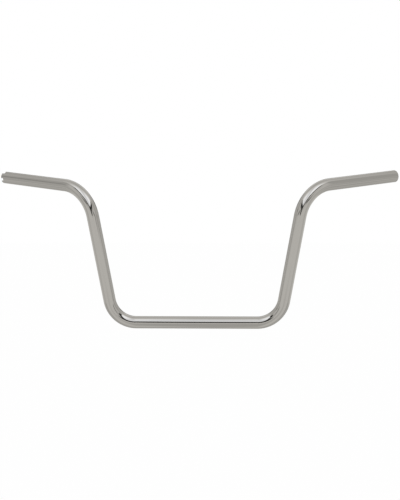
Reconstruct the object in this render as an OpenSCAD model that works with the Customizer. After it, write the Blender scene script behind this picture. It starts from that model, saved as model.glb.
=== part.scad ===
// Ape hanger handlebar, bent from one length of steel tube.
// +Z is up, +X is across the bar and -Y is the front, so the grips pull back towards +Y.
// The origin is on the tube's axis, in the middle of the base that the risers clamp.

/* [Tube] */
// Outside diameter of the tube
tube_d = 25.4; // [22.2:0.1:32]
// Thickness of the tube's wall
wall = 3; // [2:0.1:4]
// Radius of the rounded outer edge at each cut end
edge_r = 1; // [0.4:0.1:1.6]

/* [Base] */
// Straight length of the base, between the lower bends
base_straight = 250; // [180:1:400]
// Radius of the lower bends, to the tube's axis
base_bend_r = 56; // [45:1:120]

/* [Legs] */
// Straight length of each leg, between its two bends
leg_straight = 177; // [60:1:450]
// How far each leg leans outwards from upright, in degrees
leg_lean = 10; // [0:0.5:25]

/* [Grips] */
// Radius of the upper bends, to the tube's axis
grip_bend_r = 74; // [45:1:120]
// Straight length of each grip, from its bend to the cut end
grip_straight = 173; // [140:1:260]
// How far each grip is pulled back from straight across, in degrees
pull_back = 30; // [0:0.5:55]
// How far each grip rises towards its end, in degrees
grip_rise = 4; // [-20:0.5:20]

/* [Throttle notches] */
// Depth of the four notches, along the tube
notch_depth = 6.5; // [4:0.1:12]
// Width of the three narrow notches
notch_w = 7; // [4:0.1:8]
// Width of the one wide notch, which keys the throttle sensor
key_notch_w = 10; // [8:0.1:11]
// Where the wide notch is, in degrees from the top of the grip towards the front
notch_turn = 18; // [0:1:359]

/* [Hidden] */
$fn = 96;

bore_d = tube_d - 2 * wall;
notch_count = 4;
// how far a cutter runs past the surface that it cuts
past = 1;
// Bending draws the tube down, so a bend is this much thinner than a straight.
drawn = 0.05;
// Each straight tapers into its bends over this length, to twice that much thinner.
taper = 1;

// Each half is a bender's list of straights and bends.
base_turn = 90 - leg_lean;
leg_axis = [sin(leg_lean), 0, cos(leg_lean)];
grip_axis = [cos(grip_rise) * cos(pull_back), cos(grip_rise) * sin(pull_back), sin(grip_rise)];
grip_turn = acos(leg_axis * grip_axis);

// The tube is turned about its own axis between the two bends, from one plane of bending to the next.
leg_side = [-cos(leg_lean), 0, sin(leg_lean)];
bend_side = unit(across(grip_axis, leg_axis));
plane_turn = atan2(-bend_side.y, bend_side * leg_side);

// The top of the grip, as an angle about the grip's axis from the side it was last bent to
grip_side = cos(grip_turn) * bend_side - sin(grip_turn) * leg_axis;
grip_flank = cross(grip_side, grip_axis);
grip_top = unit(across([0, 0, 1], grip_axis));
top_turn = atan2(-(grip_top * grip_flank), grip_top * grip_side);

function unit(v) = v / norm(v);
// the part of a vector that is square to an axis of length 1
function across(v, axis) = v - (v * axis) * axis;

// A straight rod along +X from the origin, with a taper past each end that runs into a bend
module straight(d, length) {
    rotate([0, 90, 0]) rotate_extrude() polygon([
        [0, -taper], [d / 2 - drawn, -taper], [d / 2, 0],
        [d / 2, length], [d / 2 - drawn, length + taper], [0, length + taper]
    ]);
}

// A rod that leaves the origin along +X and bends towards +Z
module bend(d, radius, turn) {
    translate([0, 0, radius]) rotate([90, 90, 0])
        rotate_extrude(angle = turn) translate([radius, 0]) circle(d = d - drawn);
}

// Places what follows at the far end of a bend
module past_bend(radius, turn) {
    translate([0, 0, radius]) rotate([0, -turn, 0]) translate([0, 0, -radius]) children();
}

// Places what follows at the start of the leg, of the upper bend and of the grip
module at_leg() {
    translate([base_straight / 2, 0, 0]) past_bend(base_bend_r, base_turn) children();
}

module at_upper_bend() {
    at_leg() translate([leg_straight, 0, 0]) rotate([plane_turn, 0, 0]) children();
}

module at_grip() {
    at_upper_bend() past_bend(grip_bend_r, grip_turn) children();
}

module both_sides() {
    children();
    mirror([1, 0, 0]) children();
}

// The bar as a rod from one upper bend to the other
module rod(d) {
    translate([-base_straight / 2, 0, 0]) straight(d, base_straight);
    both_sides() {
        translate([base_straight / 2, 0, 0]) bend(d, base_bend_r, base_turn);
        at_leg() straight(d, leg_straight);
        at_upper_bend() bend(d, grip_bend_r, grip_turn);
    }
}

// The outside of one grip along +X, tapered into its bend and rounded at its cut end
module grip() {
    rotate([0, 90, 0]) rotate_extrude() {
        polygon([
            [0, -taper], [tube_d / 2 - drawn, -taper], [tube_d / 2, 0],
            [tube_d / 2, grip_straight - edge_r], [0, grip_straight - edge_r]
        ]);
        square([tube_d / 2 - edge_r, grip_straight]);
        translate([tube_d / 2 - edge_r, grip_straight - edge_r]) circle(r = edge_r);
    }
}

// Four notches in the end on the rider's right, one of them wider than the rest
module throttle_notches() {
    mirror([1, 0, 0]) at_grip() translate([grip_straight - notch_depth, 0, 0])
        for (i = [0 : notch_count - 1]) {
            w = i == 0 ? key_notch_w : notch_w;
            rotate([top_turn + notch_turn + i * 360 / notch_count, 0, 0])
                translate([0, -w / 2, bore_d / 4]) cube([notch_depth + past, w, tube_d / 2]);
        }
}

module handlebar() {
    color("silver") difference() {
        union() {
            rod(tube_d);
            both_sides() at_grip() grip();
        }
        rod(bore_d);
        both_sides() at_grip() straight(bore_d, grip_straight + past);
        throttle_notches();
    }
}

handlebar();
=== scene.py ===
import math

import bmesh
import bpy
from mathutils import Matrix, Vector


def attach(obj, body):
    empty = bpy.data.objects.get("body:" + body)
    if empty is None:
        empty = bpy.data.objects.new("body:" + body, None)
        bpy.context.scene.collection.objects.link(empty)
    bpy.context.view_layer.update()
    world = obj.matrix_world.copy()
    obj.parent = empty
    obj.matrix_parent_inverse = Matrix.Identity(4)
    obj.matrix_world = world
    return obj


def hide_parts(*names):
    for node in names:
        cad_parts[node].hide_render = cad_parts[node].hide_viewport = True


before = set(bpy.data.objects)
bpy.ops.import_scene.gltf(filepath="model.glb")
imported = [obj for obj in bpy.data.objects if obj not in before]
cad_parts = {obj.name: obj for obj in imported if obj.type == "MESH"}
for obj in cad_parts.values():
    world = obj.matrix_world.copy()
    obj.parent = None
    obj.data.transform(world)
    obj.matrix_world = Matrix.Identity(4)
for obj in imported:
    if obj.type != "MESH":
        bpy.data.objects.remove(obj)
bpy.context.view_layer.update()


# Handlebar: one length of round steel tube, bent four times and chrome plated.
# A ring is drawn out from the middle of the base to the cut end, turned in over the end
# and drawn back as the bore. That half is mirrored, and one end notched for the throttle.
SIDES, BEND_STEPS = 160, 36
OUTER, BORE = 0.0127, 0.0097
OUTER_ROUNDING, BORE_ROUNDING = 0.001, 0.0003
BASE, LOW_R, LEG, HIGH_R, GRIP = 0.250, 0.056, 0.177, 0.074, 0.173
LEAN, PULL_BACK, RISE = math.radians(10), math.radians(30), math.radians(4)
TOUCHING = 1e-5
base_way = Vector((1, 0, 0))
leg_way = Vector((math.sin(LEAN), 0, math.cos(LEAN)))
grip_way = Vector(
    (
        math.cos(RISE) * math.cos(PULL_BACK),
        math.cos(RISE) * math.sin(PULL_BACK),
        math.sin(RISE),
    )
)


def bend_from(start, way, next_way, radius):
    """The hub, axis and turn of a bend, and where it ends."""
    side = (next_way - next_way.dot(way) * way).normalized()
    turn = way.angle(next_way)
    end = start + radius * (side * (1 - math.cos(turn)) + way * math.sin(turn))
    return (start + side * radius, side.cross(way), turn), end


low_bend, leg_start = bend_from(base_way * BASE / 2, base_way, leg_way, LOW_R)
high_bend, grip_start = bend_from(leg_start + leg_way * LEG, leg_way, grip_way, HIGH_R)
tip = grip_start + grip_way * GRIP


def draw_straight(way, length):
    bpy.ops.mesh.extrude_edges_move(TRANSFORM_OT_translate={"value": way * length})


def draw_bend(bend, back=False):
    hub, axis, turn = bend
    bpy.ops.mesh.spin(steps=BEND_STEPS, angle=turn, center=hub, axis=-axis if back else axis)


bpy.ops.object.select_all(action="DESELECT")
bpy.ops.mesh.primitive_circle_add(vertices=SIDES, radius=OUTER, rotation=(0, math.pi / 2, 0))
bar = bpy.context.object
bar.name = "handlebar_tube"
bpy.ops.object.transform_apply(location=True, rotation=True, scale=True)
bpy.ops.object.mode_set(mode="EDIT")
bpy.ops.mesh.select_all(action="SELECT")
draw_straight(base_way, BASE / 2)
draw_bend(low_bend)
draw_straight(leg_way, LEG)
draw_bend(high_bend)
draw_straight(grip_way, GRIP)
draw_straight(grip_way, 0)
bpy.ops.transform.resize(value=(BORE / OUTER,) * 3, center_override=tip)
bpy.ops.object.mode_set(mode="OBJECT")
outside_faces = len(bar.data.polygons)
bpy.ops.object.mode_set(mode="EDIT")
draw_straight(-grip_way, GRIP)
draw_bend(high_bend, back=True)
draw_straight(-leg_way, LEG)
draw_bend(low_bend, back=True)
draw_straight(-base_way, BASE / 2)
bpy.ops.object.mode_set(mode="OBJECT")
bar.data.materials.append(bpy.data.materials.new("chrome_plate"))
bar.data.materials.append(bpy.data.materials.new("bore_steel"))
for face in bar.data.polygons[outside_faces:]:
    face.material_index = 1


def select_end_edges(radius):
    """Selects the ring of edges of that radius at the cut end."""
    bpy.ops.object.mode_set(mode="EDIT")
    bpy.ops.mesh.select_mode(type="EDGE")
    bpy.ops.mesh.select_all(action="DESELECT")
    mesh = bmesh.from_edit_mesh(bar.data)
    for edge in mesh.edges:
        out = [vert.co - tip for vert in edge.verts]
        at_end = all(abs(v.dot(grip_way)) < TOUCHING for v in out)
        on_ring = all(abs(v.length - radius) < TOUCHING for v in out)
        edge.select_set(at_end and on_ring)
    bmesh.update_edit_mesh(bar.data)


select_end_edges(OUTER)
bpy.ops.mesh.bevel(offset=OUTER_ROUNDING, segments=5, affect="EDGES")
select_end_edges(BORE)
bpy.ops.mesh.bevel(offset=BORE_ROUNDING, segments=2, affect="EDGES")
bpy.ops.object.mode_set(mode="OBJECT")
bpy.ops.object.modifier_add(type="MIRROR")
bar.modifiers[-1].merge_threshold = TOUCHING
bpy.ops.object.modifier_apply(modifier=bar.modifiers[-1].name)
bpy.ops.object.mode_set(mode="EDIT")
bpy.ops.mesh.select_all(action="SELECT")
bpy.ops.mesh.normals_make_consistent(inside=False)
bpy.ops.object.mode_set(mode="OBJECT")

# The four notches are milled from the end, so their floors and sides are flat. Each is
# given by its turn around the end, in degrees from the top, and its width. The middle of
# the cutter passes CUTTER_OUT from the tube's axis.
NOTCHES = ((18, 0.010), (108, 0.007), (198, 0.007), (288, 0.007))
NOTCH_DEPTH = 0.0065
CUTTER_LENGTH, CUTTER_HEIGHT, CUTTER_OUT = 0.010, 0.013, 0.0125
throttle_way = Vector((-grip_way.x, grip_way.y, grip_way.z))
throttle_tip = Vector((-tip.x, tip.y, tip.z))
top = Vector((0, 0, 1))
top = (top - top.dot(throttle_way) * throttle_way).normalized()
front = top.cross(throttle_way)
cutters = []
for turn, width in NOTCHES:
    out = top * math.cos(math.radians(turn)) + front * math.sin(math.radians(turn))
    aim = Matrix((throttle_way, out.cross(throttle_way), out)).transposed()
    inwards = throttle_way * (NOTCH_DEPTH - CUTTER_LENGTH / 2)
    bpy.ops.mesh.primitive_cube_add(
        size=1,
        location=throttle_tip - inwards + out * CUTTER_OUT,
        rotation=aim.to_euler(),
        scale=(CUTTER_LENGTH, width, CUTTER_HEIGHT),
    )
    cutters.append(bpy.context.object)
bpy.ops.object.select_all(action="DESELECT")
for cutter in cutters:
    cutter.select_set(True)
bpy.context.view_layer.objects.active = cutters[0]
bpy.ops.object.join()
cutter = bpy.context.object
bpy.ops.object.select_all(action="DESELECT")
bar.select_set(True)
bpy.context.view_layer.objects.active = bar
bpy.ops.object.modifier_add(type="BOOLEAN")
bar.modifiers[-1].object = cutter
bar.modifiers[-1].solver = "EXACT"
bpy.ops.object.modifier_apply(modifier=bar.modifiers[-1].name)
bpy.data.objects.remove(cutter)
bpy.ops.object.shade_smooth_by_angle(angle=math.radians(32))
bpy.ops.object.modifier_add(type="WEIGHTED_NORMAL")
bar.modifiers[-1].keep_sharp = True
bar.modifiers[-1].weight = 100
bpy.ops.object.modifier_apply(modifier=bar.modifiers[-1].name)


def noise(scale, detail):
    """A noise that is fixed to the piece."""
    coords = nodes.new("ShaderNodeTexCoord")
    pattern = nodes.new("ShaderNodeTexNoise")
    pattern.inputs["Scale"].default_value = scale
    pattern.inputs["Detail"].default_value = detail
    links.new(coords.outputs["Object"], pattern.inputs["Vector"])
    return pattern.outputs["Fac"]


def vary_roughness(pattern, smoothest, roughest):
    gloss = nodes.new("ShaderNodeMapRange")
    gloss.inputs["To Min"].default_value = smoothest
    gloss.inputs["To Max"].default_value = roughest
    links.new(pattern, gloss.inputs["Value"])
    links.new(gloss.outputs["Result"], shader.inputs["Roughness"])


# Polished chrome, with fine wiping marks that only change how sharp its reflections are.
CHROME, CHROME_RIM = (0.61, 0.60, 0.585, 1), (0.75, 0.75, 0.75, 1)
chrome = bpy.data.materials["chrome_plate"]
chrome.use_nodes = True
nodes, links = chrome.node_tree.nodes, chrome.node_tree.links
shader = nodes["Principled BSDF"]
shader.inputs["Base Color"].default_value = CHROME
shader.inputs["Metallic"].default_value = 1
shader.inputs["Specular Tint"].default_value = CHROME_RIM
vary_roughness(noise(90, 6), 0.05, 0.10)

# Inside the bore the plating thins out to dull steel with a drawn grain.
DARK_STEEL, PALE_STEEL = (0.20, 0.19, 0.18, 1), (0.36, 0.35, 0.34, 1)
GRAIN_DEPTH = 0.0002
steel = bpy.data.materials["bore_steel"]
steel.use_nodes = True
nodes, links = steel.node_tree.nodes, steel.node_tree.links
shader = nodes["Principled BSDF"]
shader.inputs["Metallic"].default_value = 1
grain = noise(350, 8)
tone = nodes.new("ShaderNodeValToRGB")
tone.color_ramp.elements[0].color = DARK_STEEL
tone.color_ramp.elements[1].color = PALE_STEEL
links.new(grain, tone.inputs["Fac"])
links.new(tone.outputs["Color"], shader.inputs["Base Color"])
vary_roughness(grain, 0.38, 0.6)
bump = nodes.new("ShaderNodeBump")
bump.inputs["Strength"].default_value = 0.3
bump.inputs["Distance"].default_value = GRAIN_DEPTH
links.new(grain, bump.inputs["Height"])
links.new(bump.outputs["Normal"], shader.inputs["Normal"])


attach(bar, "root")
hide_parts("handlebar")


# Pale floor, painted white and well under the bar. It is almost pure white where the
# camera or a reflection meets it, so that no horizon shows against the white world.
FLOOR_SIZE, FLOOR_HEIGHT = 40, -2.5
FLOOR_WHITE = 0.98


def background_rays():
    """1 for a ray from the camera, off a mirror or through glass, and 0 for any other."""
    path = nodes.new("ShaderNodeLightPath")
    rays = path.outputs["Is Camera Ray"]
    for name in ("Is Glossy Ray", "Is Transmission Ray"):
        either = nodes.new("ShaderNodeMath")
        either.operation = "MAXIMUM"
        links.new(rays, either.inputs[0])
        links.new(path.outputs[name], either.inputs[1])
        rays = either.outputs[0]
    return rays


bpy.ops.object.select_all(action="DESELECT")
bpy.ops.mesh.primitive_plane_add(size=FLOOR_SIZE, location=(0, 0, FLOOR_HEIGHT))
floor = bpy.context.object
floor.name = "floor"
paint = bpy.data.materials.new("floor_white")
paint.use_nodes = True
nodes, links = paint.node_tree.nodes, paint.node_tree.links
nodes["Principled BSDF"].inputs["Base Color"].default_value = (0.85, 0.85, 0.85, 1)
nodes["Principled BSDF"].inputs["Roughness"].default_value = 0.8
white = nodes.new("ShaderNodeEmission")
share = nodes.new("ShaderNodeMath")
share.operation = "MULTIPLY"
share.inputs[1].default_value = FLOOR_WHITE
links.new(background_rays(), share.inputs[0])
blend = nodes.new("ShaderNodeMixShader")
links.new(share.outputs[0], blend.inputs[0])
links.new(nodes["Principled BSDF"].outputs[0], blend.inputs[1])
links.new(white.outputs[0], blend.inputs[2])
links.new(blend.outputs[0], nodes["Material Output"].inputs["Surface"])
floor.data.materials.append(paint)


# Studio surround: a large grey tent that glows, with a soft box overhead and a dark gap
# under the box. Only the chrome reflects it, and the camera looks through it at the white
# background.
TENT_RADIUS, TENT_MIDDLE = 2.4, (0, 0, 0.15)
WALL = 0.69
WALL_TINT, BOX_TINT = (1, 0.98, 0.93, 1), (0.97, 0.98, 1, 1)
bpy.ops.object.select_all(action="DESELECT")
bpy.ops.mesh.primitive_uv_sphere_add(
    segments=64, ring_count=32, radius=TENT_RADIUS, location=TENT_MIDDLE
)
tent = bpy.context.object
tent.name = "studio_surround"
tent.visible_camera = False
tent.visible_diffuse = False
tent.visible_shadow = False
paint = bpy.data.materials.new("tent_light")
paint.use_nodes = True
nodes, links = paint.node_tree.nodes, paint.node_tree.links
nodes.remove(nodes["Principled BSDF"])


def number(operation, *inputs):
    node = nodes.new("ShaderNodeMath")
    node.operation = operation
    for slot, value in zip(node.inputs, inputs):
        if isinstance(value, (int, float)):
            slot.default_value = value
        else:
            links.new(value, slot)
    return node.outputs[0]


def product(first, *others):
    for other in others:
        first = number("MULTIPLY", first, other)
    return first


def distance(value, place):
    return number("ABSOLUTE", number("SUBTRACT", value, place))


def dimmed(value, share):
    """The value with that share of it taken away."""
    return number("MULTIPLY", value, number("SUBTRACT", 1, share))


def ramp(value, low, high, start=0.0, end=1.0):
    """Goes from start to end as the value goes from low to high."""
    node = nodes.new("ShaderNodeMapRange")
    node.interpolation_type = "SMOOTHSTEP"
    amounts = {"From Min": low, "From Max": high, "To Min": start, "To Max": end}
    for name, amount in amounts.items():
        node.inputs[name].default_value = amount
    links.new(value, node.inputs["Value"])
    return node.outputs["Result"]


# Height and turn are angles in degrees from the middle of the tent. A turn of 0 is towards
# the camera, and a turn of 90 is the bar's plain end.
DEGREES = 180 / math.pi
coords = nodes.new("ShaderNodeTexCoord")
split = nodes.new("ShaderNodeSeparateXYZ")
links.new(coords.outputs["Object"], split.inputs[0])
x, y, z = split.outputs
flat = number("SQRT", number("ADD", product(x, x), product(y, y)))
height = product(number("ARCTAN2", z, flat), DEGREES)
turn = product(number("ARCTAN2", x, product(y, -1)), DEGREES)
aside = number("ABSOLUTE", turn)

# The soft box begins at an edge that climbs to both sides. It fades upwards and sideways.
edge = number("ADD", ramp(aside, 0, 26, 20, 31), ramp(aside, 20, 56, 0, 15))
over_edge = number("SUBTRACT", height, edge)
box = product(
    ramp(over_edge, 0, 3),
    ramp(height, 50, 85, 1, 0.15),
    ramp(aside, 36, 85, 1, 0.08),
)

# The dark gap under the edge is 10 degrees high, and 20 in the middle. It fades sideways.
gap_foot = ramp(distance(turn, -2.5), 6, 11, -20, -10)
gap = product(
    ramp(number("SUBTRACT", over_edge, gap_foot), -2, 2),
    ramp(over_edge, -1, 2, 1, 0),
    number("ADD", ramp(aside, 47, 56, 0.75, 0), ramp(aside, 52, 90, 0.2, 0)),
)

# Two thin dark lines: one that slopes down to both sides from the foot of the gap, and a
# faint level one on the notched end's side, which its grip reflects.
line_height = number("SUBTRACT", ramp(aside, 14, 62, 16, 8), ramp(turn, 20, 50, 0, 3))
front_line = product(
    ramp(distance(height, line_height), 1.5, 4.5, 0.7, 0),
    ramp(aside, 16, 28),
    ramp(aside, 44, 58, 1, 0),
)
grip_line = product(
    ramp(distance(height, 21), 2, 5, 0.32, 0),
    ramp(turn, -72, -66, 1, 0),
    ramp(aside, 86, 96, 1, 0),
)
line = number("ADD", front_line, grip_line)

# A slight shade in front, from just over the tent's middle up to the soft box.
under = product(
    ramp(height, 3, 6, 0, 0.1),
    ramp(over_edge, -4, 0, 1, 0),
    ramp(aside, 50, 66, 1, 0),
)

# The grey wall is darker at the sides, where it has two paler bands, darker again towards
# the back, and darker low down in front.
off_band = distance(height, -16)
sides = product(
    ramp(aside, 60, 72),
    ramp(aside, 84, 100, 0.2, 0.08),
    ramp(off_band, 4, 8, 0.45, 1),
    ramp(distance(height, 2), 2, 6, 0.65, 1),
    ramp(height, 40, 62, 1, 0),
    ramp(aside, 100, 114, 1, 0),
)
far = product(ramp(aside, 98, 114, 0, 0.13), ramp(off_band, 6, 14, -0.7, 1))
low = product(ramp(aside, 8, 26, 0.18, 0), ramp(height, -20, -8, 1, 0))
level = WALL
for darker in (sides, far, low):
    level = number("SUBTRACT", level, darker)

# The soft box's light is added, and the gap, the lines and the shade take their shares.
shine = product(ramp(aside, 6, 24, 0.31, 0.64), ramp(turn, -60, 60, 0.9, 1.1))
level = number("ADD", level, product(box, shine))
for shade in (gap, line, under):
    level = dimmed(level, shade)

# Behind the bar the wall has a bright band with a dark one under it.
back = ramp(aside, 142, 156)
bright = product(ramp(height, 21, 25), ramp(height, 40, 56, 1, 0), 0.35)
level = number("ADD", level, product(back, bright))
dark = product(ramp(height, 7, 12), ramp(height, 20, 24, 1, 0), 0.7)
level = dimmed(level, product(back, dark))

tint = nodes.new("ShaderNodeMix")
tint.data_type = "RGBA"
tint.inputs["A"].default_value = WALL_TINT
tint.inputs["B"].default_value = BOX_TINT
links.new(box, tint.inputs["Factor"])
glow = nodes.new("ShaderNodeEmission")
links.new(tint.outputs["Result"], glow.inputs["Color"])
links.new(level, glow.inputs["Strength"])
links.new(glow.outputs[0], nodes["Material Output"].inputs["Surface"])
tent.data.materials.append(paint)


# Light: one wide soft lamp above and in front of the bar, which the chrome doesn't
# reflect, and a white world behind everything, dimmer where it only lights the object.
LAMP_PLACE, LAMP_TILT = (0, -1.6, 3.2), math.radians(25)
LAMP_WATTS = 40
WORLD_LIGHT, WORLD_WHITE = 0.75, 1.0
bpy.ops.object.light_add(type="AREA", location=LAMP_PLACE, rotation=(LAMP_TILT, 0, 0))
lamp = bpy.context.object
lamp.data.shape = "RECTANGLE"
lamp.data.size, lamp.data.size_y = 2.5, 1.5
lamp.data.energy = LAMP_WATTS
lamp.visible_glossy = False
lamp.visible_camera = False
world = bpy.data.worlds.new("studio_world")
bpy.context.scene.world = world
world.use_nodes = True
nodes, links = world.node_tree.nodes, world.node_tree.links
strength = nodes.new("ShaderNodeMapRange")
strength.inputs["To Min"].default_value = WORLD_LIGHT
strength.inputs["To Max"].default_value = WORLD_WHITE
links.new(background_rays(), strength.inputs["Value"])
nodes["Background"].inputs["Color"].default_value = (1, 1, 1, 1)
links.new(strength.outputs["Result"], nodes["Background"].inputs["Strength"])


# Camera: at the photograph's place, 1.6 m in front of the bar and looking about 8 degrees
# down at it. The roll is the small tilt of the photograph's frame, in degrees.
CAMERA_PLACE = (0.070648, -1.618811, 0.382062)
CAMERA_AHEAD = (-0.038403, 0.989289, -0.140827)
CAMERA_ROLL = 0.298
bpy.ops.object.camera_add()
camera = bpy.context.object
ahead = Vector(CAMERA_AHEAD).normalized()
right = ahead.cross(Vector((0, 0, 1))).normalized()
right = Matrix.Rotation(math.radians(CAMERA_ROLL), 3, ahead) @ right
aim = Matrix((right, right.cross(ahead), -ahead)).transposed().to_4x4()
camera.matrix_world = Matrix.Translation(CAMERA_PLACE) @ aim
camera.data.sensor_width = 36
camera.data.lens = 57.6
bpy.context.scene.camera = camera
bpy.context.scene.view_settings.view_transform = "Standard"
